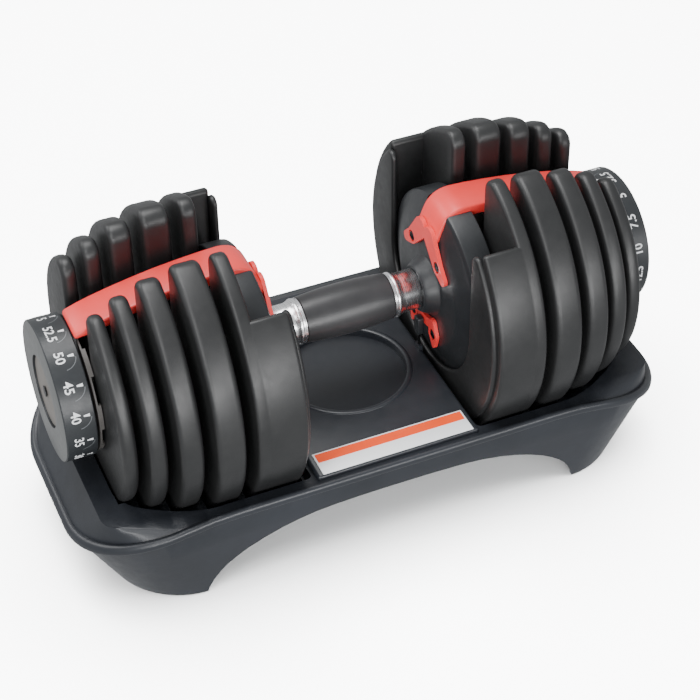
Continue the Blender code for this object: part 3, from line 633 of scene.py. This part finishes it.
def make_screw(name, sign, angle):
    """A screw with a pan head and a cross recess."""
    head, face = 0.0566, 0.0578
    profile = ((0, 0.0665), (0.0013, 0.0665), (0.0013, face), (0.0031, face), (0.0033, face - 0.0005),
               (0.0029, head), (0.0018, head - 0.0004), (0, head - 0.0005))
    screw = lathe(name, profile, SCREW, 32, closed=False)
    slots = [block((-0.0018, -0.00035, 0.0550), (0.0018, 0.00035, 0.0570), "slot"),
             block((-0.00035, -0.0018, 0.0550), (0.00035, 0.0018, 0.0570), "slot")]
    for slot in slots:
        boolean(screw, slot)
    x, y = screw_place(angle)
    settle(screw, side_matrix(sign) @ Matrix.Translation((x, y, 0)))
    drop(*slots)
    return screw


# ---- selector ----
def make_disc(side, sign, number):
    """A selector disc, with a lip at every setting that picks its plate up."""
    outer = PLATES[number][2]
    face = outer + DISC_GAP
    rim = arc((0, 0), DISC_RADIUS, 0, 360, 90)[:-1]
    hole = arc((0, 0), AXLE_HOLE, 0, 360, 32)[:-1]
    name = f"selector_disc_{number + 1}_{side}_look"
    disc = prism(name, [rim, hole], face, face + DISC_THICKNESS, SELECTOR)
    lips = []
    for setting in LIFTING[number]:
        start = 180 + (setting - len(SETTINGS) + 0.5) * SETTING_STEP
        end = start + SETTING_STEP + LIP_OVERLAP
        outline = arc((0, 0), DISC_RADIUS, start, end, 8) + arc((0, 0), DISC_LIP_RADIUS, end, start, 8)
        lips.append(prism("lip", [outline], outer + LIP_GAP, face + LIP_SINK))
    for lip in lips:
        boolean(disc, lip, "UNION")
    settle(disc, side_matrix(sign))
    drop(*lips)
    return disc


def make_dial(side, sign):
    rim, low, high, web = DIAL_RADIUS, DIAL_LOW, DIAL_HIGH, DIAL_WEB
    profile = (
        (0.0235, high), (0.0238, high), (rim - 0.0016, high), (rim - 0.0006, high - 0.0003),
        (rim, high - 0.0010), (rim, low + 0.0006), (rim - 0.0006, low), (0.0425, low), (0.0425, web),
        (0.0120, web), (0.0120, 0.1806), (AXLE_HOLE, 0.1806), (AXLE_HOLE, 0.1964), (0.0235, 0.1964),
    )
    dial = lathe(f"dial_{side}_look", profile, DIAL, 120, angle=30)
    # Faces on the outer face get the lighter copy of the dial plastic, which is painted sheen.
    dial.data.materials.append(DIAL_FACE_PAINTED_SHEEN)
    for face in dial.data.polygons:
        centre = face.center
        if centre.z > high - 0.0006 and centre.xy.length > 0.0236:
            face.material_index = 1
    return settle(dial, side_matrix(sign), 30)


def wrap(mesh, across, turn, sign, lift):
    """Lays a flat mesh on the dial's band. Its +Y points inwards along the handle."""
    place = side_matrix(sign)
    for vert in mesh.vertices:
        angle = turn - vert.co.x / DIAL_RADIUS
        radius = DIAL_RADIUS + lift + vert.co.z
        along = across - vert.co.y
        spot = Vector((radius * math.cos(angle), radius * math.sin(angle), along))
        vert.co = place @ spot


def mesh_text(text, size):
    curve = bpy.data.curves.new("number", "FONT")
    curve.body = text
    curve.size = size
    curve.align_x = "CENTER"
    curve.align_y = "CENTER"
    curve.extrude = 0.00005
    curve.offset = size * 0.014
    curve.resolution_u = 4
    return curve_mesh(curve)


def flat_mesh(name, faces):
    """A mesh of separate flat faces, each a list of (x, y) points."""
    bm = bmesh.new()
    for corners in faces:
        bm.faces.new([bm.verts.new((x, y, 0)) for x, y in corners])
    bmesh.ops.remove_doubles(bm, verts=bm.verts, dist=0.000001)
    mesh = bpy.data.meshes.new(name)
    bm.to_mesh(mesh)
    bm.free()
    return mesh


# One painted highlight arc.
def glint_arc_mesh():
    inner = arc((0, 0), ARC_INNER, ARC_START, ARC_END, ARC_STEPS)
    outer = arc((0, 0), ARC_OUTER, ARC_START, ARC_END, ARC_STEPS)
    rows = zip(inner, outer, outer[1:], inner[1:])
    return flat_mesh("arc", rows)


def join_markings(kind, side, meshes, mat):
    bm = bmesh.new()
    for mesh in meshes:
        bm.from_mesh(mesh)
        bpy.data.meshes.remove(mesh)
    joined = bpy.data.meshes.new(f"dial_{kind}_{side}")
    bm.to_mesh(joined)
    bm.free()
    obj = add(f"dial_{kind}_{side}", joined, mat)
    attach(obj, f"selector_{side}")


def make_markings(side, sign):
    """The settings round the dial's band: a number, a wedge and a thin lighter arc for each. The arc is a
    painted highlight for light caught on the edge of a thumb dimple.
    """
    wedge = ((-0.0010, 0.0018), (-0.0005, -0.0020), (0.0005, -0.0020), (0.0010, 0.0018))
    numbers, glints = [], []
    for place, text in enumerate(SETTINGS):
        turn = math.radians((place - len(SETTINGS) + 1) * SETTING_STEP + DIAL_OFFSET)
        written = mesh_text(text, NUMBER_SIZE)
        wrap(written, NUMBER_ALONG, turn, sign, NUMBER_LIFT)
        pointer = flat_mesh("wedge", [wedge])
        wrap(pointer, WEDGE_ALONG, turn, sign, WEDGE_LIFT)
        glint = glint_arc_mesh()
        wrap(glint, ARC_ALONG, turn, sign, ARC_LIFT)
        numbers += [written, pointer]
        glints.append(glint)
    join_markings("numbers", side, numbers, INK)
    # The rings object holds the painted highlight arcs.
    join_markings("rings", side, glints, GLINT_PAINT)


def make_cap(side, sign):
    profile = ((0.0024, 0.1986), (0.0200, 0.1986), (0.0222, 0.1988), (0.0229, 0.1984), (0.0229, 0.1967),
               (0.0024, 0.1967))
    cap = lathe(f"dial_cap_{side}_look", profile, CAP, 96, angle=50)
    return settle(cap, side_matrix(sign), 50)


# ---- tray ----
def lip_height(x):
    """The rim is level in the middle and falls towards the ends."""
    past = max(abs(x) - LIP_LEVEL, 0)
    return LIP_TOP - LIP_DROP * (past / (LIP_LENGTH - LIP_LEVEL)) ** 2


def below_lip(down):
    return lambda x: lip_height(x) - down


def ring(half_length, half_width, corner, height):
    """A rounded rectangle of points; height is a number, or a function of x."""
    points = []
    flat_x, flat_y = half_length - corner, half_width - corner
    for quarter, (sx, sy) in enumerate(((1, 1), (-1, 1), (-1, -1), (1, -1))):
        points += arc((sx * flat_x, sy * flat_y), corner, 90 * quarter, 90 * quarter + 90, CORNER_STEPS)
        if quarter % 2 == 0:
            for step in range(1, FLAT_STEPS):
                points.append((sx * flat_x * (1 - 2 * step / FLAT_STEPS), sy * half_width))
    return [Vector((x, y, height(x) if callable(height) else height)) for x, y in points]


def loft(rings, name, mat=None):
    """A closed skin through rings that have equally many points."""
    bm = bmesh.new()
    rows = [[bm.verts.new(point) for point in points] for points in rings]
    count = len(rows[0])
    for lower, upper in zip(rows, rows[1:]):
        for place in range(count):
            after = (place + 1) % count
            bm.faces.new((lower[place], lower[after], upper[after], upper[place]))
    bm.faces.new(list(reversed(rows[0])))
    bm.faces.new(rows[-1])
    bmesh.ops.triangulate(bm, faces=bm.faces)
    return from_bmesh(bm, name, mat)


def blend_rings(first, second, weight):
    return [a.lerp(b, weight) for a, b in zip(first, second)]


def tray_outside():
    length, width, corner = LIP_LENGTH, LIP_WIDTH, LIP_CORNER
    foot = ring(*TRAY_FOOT)
    under = ring(length - 0.0030, width - 0.0026, corner - 0.0020, below_lip(0.0070))
    groove = ring(length - 0.0034, width - 0.0030, corner - 0.0024, below_lip(0.0062))
    rows = [foot, blend_rings(foot, under, 0.35), blend_rings(foot, under, 0.7), under, groove]
    profile = ((0.0006, 0.0056), (0.0001, 0.0048), (0.0, 0.0036), (0.0, 0.0024), (0.0003, 0.0012),
               (0.0012, 0.0004), (0.0024, 0.0), (0.0036, 0.0003))
    for inset, down in profile:
        rows.append(ring(length - inset, width - inset, corner - inset, below_lip(down)))
    inner = ring(length - 0.0048, width - 0.0048, corner - 0.0048, below_lip(0.0010))
    deck = ring(*DECK)
    rows += [inner, blend_rings(inner, deck, 0.5), blend_rings(inner, deck, 0.93), deck]
    return loft(rows, "tray_look", TRAY)


def tray_inside():
    length, width, corner = LIP_LENGTH - 0.0060, LIP_WIDTH - 0.0055, LIP_CORNER - 0.0050
    rows = (
        ring(0.1780, 0.0795, 0.0490, -0.0008),
        ring(length, width, corner, below_lip(0.0080)),
        ring(0.1870, 0.0735, 0.012, 0.0690),
    )
    return loft(rows, "tray_hollow")


def arch_cutters():
    half = ((0.0, 0.0525), (0.015, 0.0524), (0.030, 0.0521), (0.045, 0.0514), (0.058, 0.0501),
            (0.070, 0.0476), (0.082, 0.0440), (0.094, 0.0392), (0.104, 0.0340), (0.112, 0.0286),
            (0.118, 0.0236), (0.1225, 0.0186), (0.1265, 0.0126), (0.1300, 0.0050), (0.1325, -0.0050))
    outline = [(-x, z) for x, z in reversed(half[1:])] + list(half)
    front = prism("arch", [outline], -ARCH_REACH, ARCH_REACH)
    front.data.transform(Matrix.Rotation(math.radians(90), 4, "X"))
    opening = arc((0, -END_ARCH_DROP), END_ARCH_RADIUS, 25, 155, 32)
    end = prism("end_arch", [opening], -END_ARCH_REACH, END_ARCH_REACH)
    turn = Matrix.Rotation(math.radians(90), 4, "Z") @ Matrix.Rotation(math.radians(90), 4, "X")
    end.data.transform(turn)
    return [front, end]


def well_outline(grow):
    """The well's opening on the right side, grown outwards."""
    points = ((0.0575, 0.0835), (0.1240, 0.0835), (0.1380, 0.0790), (0.1500, 0.0730), (0.1600, 0.0670),
              (0.1690, 0.0600), (0.1762, 0.0480))
    first, last = points[0], points[-1]
    rows = [(first[0] - grow, first[1] + grow)]
    rows += [(x, y + grow) for x, y in points[1:-1]]
    rows += [(last[0] + grow, last[1] + grow)]
    return rows + [(x, -y) for x, y in reversed(rows)]


def well_tub(name, sign, grow):
    """The turned room round the five plates, or with grow the wall that holds it."""
    rows = []
    for number, (_, inner, outer, radius) in enumerate(PLATES):
        start = WELL_START if number == 0 else inner - WELL_GAP
        rows.append((start - grow, outer + WELL_GAP + grow, radius + WELL_ROOM + grow))
    profile = []
    for number, (start, end, radius) in enumerate(rows):
        if grow and number:
            start = rows[number - 1][1]
        if not grow and number:
            profile += [(WELL_RIB, rows[number - 1][1]), (WELL_RIB, start)]
        profile += [(radius, start), (radius, end)]
    profile = [(0.0, rows[0][0])] + profile + [(0.0, rows[-1][1])]
    tub = lathe(name, profile, None, 96, closed=False)
    tub.data.transform(side_matrix(sign))
    return tub


def well_mouth(name, sign, grow, low, high):
    loop = round_corners([(sign * x, y) for x, y in well_outline(grow)], WELL_CORNER)
    return prism(name, [loop], low, high)


def tub_wall(sign):
    """The wall round one side's plates, below the deck."""
    tub = well_tub("tub", sign, WELL_WALL)
    limit = block((-0.25, -0.12, 0.0), (0.25, 0.12, WELL_TOP), "limit")
    boolean(tub, limit, "INTERSECT")
    settle(tub)
    drop(limit)
    return tub


def tray_bodies():
    centre = block(
        (-CENTRE_HALF, -CENTRE_WIDTH, CENTRE_LOW), (CENTRE_HALF, CENTRE_WIDTH, CENTRE_TOP), "centre"
    )
    bevel(centre, 0.0016, 3)
    bodies = [centre]
    for sign in (-1, 1):
        bodies.append(well_mouth("wall", sign, WELL_WALL, 0.0560, WELL_TOP))
        bodies.append(tub_wall(sign))
        for y in (-1, 1):
            leg = rod("leg", LEG_RADIUS, LEG_LOW, LEG_HIGH)
            leg.data.transform(Matrix.Translation((sign * LEG_X, y * LEG_Y, 0)))
            bodies.append(leg)
    return bodies


def tray_rooms():
    rooms = []
    for sign in (-1, 1):
        rooms.append(well_mouth("mouth", sign, 0.0, 0.0600, 0.1000))
        rooms.append(well_tub("room", sign, 0.0))
    rooms.append(rod("recess", RECESS_RADIUS, RECESS_FLOOR, 0.1, 96))
    return rooms


def tray_details():
    """The raised ring round the recess and the two posts below the lock pins."""
    bead = lathe("bead", ((0.0412, 0.0766), (0.0452, 0.0766), (0.0449, 0.0773), (0.0440, 0.0778),
                          (0.0424, 0.0778), (0.0414, 0.0774)), None, 96)
    details = [bead]
    for sign in (-1, 1):
        post = block((-POST_HALF, -POST_WIDTH, POST_LOW), (POST_HALF, POST_WIDTH, POST_TOP), "post")
        post.data.transform(Matrix.Translation((sign * LOCK_X, 0, 0)))
        details.append(post)
    return details


def make_tray():
    tray = tray_outside()
    hollows, bodies = [tray_inside(), *arch_cutters()], tray_bodies()
    rooms, details = tray_rooms(), tray_details()
    steps = ((hollows, "DIFFERENCE"), (bodies, "UNION"), (rooms, "DIFFERENCE"), (details, "UNION"))
    for pieces, operation in steps:
        for piece in pieces:
            boolean(tray, piece, operation)
    settle(tray, None, 38)
    drop(*hollows, *bodies, *rooms, *details)
    return tray


def make_label():
    """A blank white label with an orange band along its back edge."""
    y, z, half = LABEL_Y, LABEL_Z, LABEL_HALF
    top = z + LABEL_THICKNESS
    base = block((-half, y - LABEL_DEPTH, z), (half, y + LABEL_DEPTH, top), "label_look", PAPER)
    bevel(base, 0.0002, 2)
    settle(base)
    wide, back = half - BAND_MARGIN, y + LABEL_DEPTH
    low = (-wide, back - BAND_DEPTH, z + BAND_LOW)
    high = (wide, back - BAND_MARGIN, z + BAND_HIGH)
    return base, block(low, high, "label_band", ORANGE)


# ---- build ----
def stand_for(piece, node_name, body):
    """The piece rides on a body in place of a CAD node."""
    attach(piece, body)
    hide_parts(node_name)


def dress(node_name, mat):
    """Gives a CAD node a material and leaves its mesh as it is."""
    obj = frame["nodes"][node_name]
    if not obj.material_slots:
        obj.data.materials.append(mat)
    for place in obj.material_slots:
        place.material = mat


def build_base():
    stand_for(make_tray(), "tray", "base")
    label, band = make_label()
    stand_for(label, "label", "base")
    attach(band, "base")
    for foot in ("front_left", "front_right", "back_left", "back_right"):
        dress(f"foot_{foot}", FOOT)


def build_handle_side(side, sign):
    stand_for(make_collar(side, sign), f"collar_{side}", "handle")
    stand_for(make_flange(side, sign), f"hub_flange_{side}", "handle")
    stand_for(make_bridge(side, sign), f"bridge_{side}", "handle")
    stand_for(make_lower_bracket(side, sign), f"lower_bracket_{side}", "handle")
    housing = make_lock_housing(side, sign)
    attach(housing, "handle")
    for number, angle in enumerate(SCREW_ANGLES, 1):
        name = f"bridge_screw_{number}_{side}"
        stand_for(make_screw(name + "_look", sign, angle), name, "handle")
    dress(f"end_bearing_{side}", HOUSING)
    dress(f"lock_pin_{side}", SCREW)
    spring = make_lock_spring(side, sign)
    stand_for(spring, f"lock_spring_{side}", "handle")
    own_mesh(spring)


def build_selector(side, sign):
    dress(f"selector_axle_{side}", STEEL)
    dress(f"dial_screw_{side}", SCREW)
    for number in range(len(PLATES)):
        name = f"selector_disc_{number + 1}_{side}"
        stand_for(make_disc(side, sign, number), name, f"selector_{side}")
    stand_for(make_dial(side, sign), f"dial_{side}", f"selector_{side}")
    stand_for(make_cap(side, sign), f"dial_cap_{side}", f"selector_{side}")
    make_markings(side, sign)


build_base()
stand_for(make_grip(), "grip", "handle")
dress("handle_tube", STEEL)
for side, sign in SIDES:
    build_handle_side(side, sign)
    build_selector(side, sign)
    for row in PLATES:
        body = f"{row[0]}_{side}"
        stand_for(make_plate(side, sign, row), body, body)


# ---- floor, light, camera ----
def stage():
    """A pale floor lit by its own wash, and a soft even sky."""
    bm = bmesh.new()
    bmesh.ops.create_grid(bm, x_segments=1, y_segments=1, size=30)
    floor = from_bmesh(bm, "floor")
    floor.data.materials.append(
        moulded("floor_look", (0.93, 0.935, 0.935), (0.95, 0.955, 0.955), 0.6, 300, 0.00002, 3, 0.05)
    )
    floor.visible_diffuse = False
    floor.visible_glossy = False
    world = bpy.data.worlds.new("studio")
    bpy.context.scene.world = world
    world.use_nodes = True
    sky = world.node_tree.nodes["Background"]
    sky.inputs["Color"].default_value = (0.97, 0.985, 1.0, 1)
    sky.inputs["Strength"].default_value = 0.62
    only_floor = bpy.data.collections.new("floor_only")
    only_floor.objects.link(floor)
    wash = area("floor_wash", (0.2, 0.3, 3.0), (0, 0, 0), (3.6, 3.6), 1150)
    wash.light_linking.receiver_collection = only_floor


def area(name, place, aim, size, power):
    light = bpy.data.lights.new(name, "AREA")
    light.shape = "RECTANGLE"
    light.size, light.size_y = size
    light.energy = power
    obj = bpy.data.objects.new(name, light)
    obj.location = place
    obj.rotation_euler = (Vector(aim) - Vector(place)).to_track_quat("-Z", "Y").to_euler()
    bpy.context.scene.collection.objects.link(obj)
    return obj


def camera():
    turn, rise, roll = (math.radians(angle) for angle in (CAMERA_TURN, CAMERA_RISE, CAMERA_ROLL))
    back = Vector((math.sin(turn) * math.cos(rise), -math.cos(turn) * math.cos(rise), math.sin(rise)))
    right = Vector((math.cos(turn), math.sin(turn), 0))
    up = right.cross(-back)
    across = right * math.cos(roll) + up * math.sin(roll)
    upward = up * math.cos(roll) - right * math.sin(roll)
    data = bpy.data.cameras.new("camera")
    data.lens = CAMERA_LENS
    data.sensor_width = CAMERA_FILM
    data.clip_end = 30
    obj = bpy.data.objects.new("camera", data)
    matrix = Matrix((across, upward, back)).transposed().to_4x4()
    matrix.translation = CAMERA_PLACE
    obj.matrix_world = matrix
    bpy.context.scene.collection.objects.link(obj)
    bpy.context.scene.camera = obj


stage()
area("top", (-0.25, 0.35, 1.7), (0, 0, 0.1), (1.1, 0.9), 27)
area("rim", (-1.1, 1.0, 1.1), (0, 0, 0.1), (1.0, 0.5), 9)
area("front", (0.5, -1.7, 0.55), (0, 0, 0.1), (1.1, 0.7), 16)
area("strip", (-0.9, -0.7, 1.0), (0, 0, 0.1), (0.35, 1.1), 8)
area("low_front", (-0.45, -1.30, 0.24), (0, 0, 0.06), (1.4, 0.3), 17)
camera()
